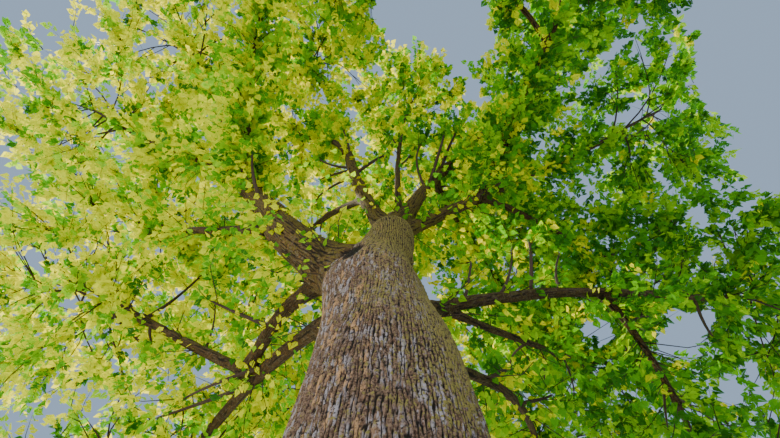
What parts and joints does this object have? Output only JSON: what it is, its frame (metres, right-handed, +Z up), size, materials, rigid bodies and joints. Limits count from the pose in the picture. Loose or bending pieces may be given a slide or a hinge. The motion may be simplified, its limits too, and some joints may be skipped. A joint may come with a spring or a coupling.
{
  "type": "linden tree",
  "caption": "Veteran broad-crowned linden tree: a flared, furrowed trunk, forking tapering boughs and separate masses of leafy twigs, rooted in the ground.",
  "frame": {"origin": "the middle of the flat cut under the trunk, at ground level", "axes": "+Z up along the trunk; +X to the right and -Y towards the viewer, as the picture sees the tree from its foot"},
  "size_m": [22.8556, 19.832, 20.5195],
  "materials": {
    "bark": "rough, deeply furrowed grey-brown bark with olive lichen, matt",
    "foliage": "thin fresh green leaves, slightly glossy above, glowing yellow-green where the sun is behind them"
  },
  "bodies": {
    "root": {"trunk": "bark", "left_great": "bark", "left_middle": "bark", "left_low": "bark", "right_lowest": "bark", "right_low": "bark", "right_slender": "bark", "back_right": "bark", "back_left": "bark", "upper_right": "bark", "upper_left": "bark", "upper_main": "bark", "left_knee": "bark", "left_bent": "bark", "left_outer": "bark", "left_crest": "bark", "left_top": "bark", "front_left": "bark", "right_outer": "bark", "right_hanging": "bark", "right_crest": "bark", "right_inner": "bark", "right_middle": "bark", "front_right": "bark", "far_right": "bark", "crest_right": "bark", "front_middle": "bark", "top_right": "bark", "top_back": "bark", "top_crown": "bark", "top_left": "bark", "far_left": "bark", "left_low_foliage": "foliage", "right_lowest_foliage": "foliage", "right_slender_foliage": "foliage", "back_right_foliage": "foliage", "back_left_foliage": "foliage", "left_knee_foliage": "foliage", "left_bent_foliage": "foliage", "left_outer_foliage": "foliage", "left_crest_foliage": "foliage", "left_top_foliage": "foliage", "front_left_foliage": "foliage", "right_outer_foliage": "foliage", "right_hanging_foliage": "foliage", "right_crest_foliage": "foliage", "right_inner_foliage": "foliage", "right_middle_foliage": "foliage", "front_right_foliage": "foliage", "far_right_foliage": "foliage", "crest_right_foliage": "foliage", "front_middle_foliage": "foliage", "top_right_foliage": "foliage", "top_back_foliage": "foliage", "top_crown_foliage": "foliage", "top_left_foliage": "foliage", "far_left_foliage": "foliage"}
  },
  "joints": []
}
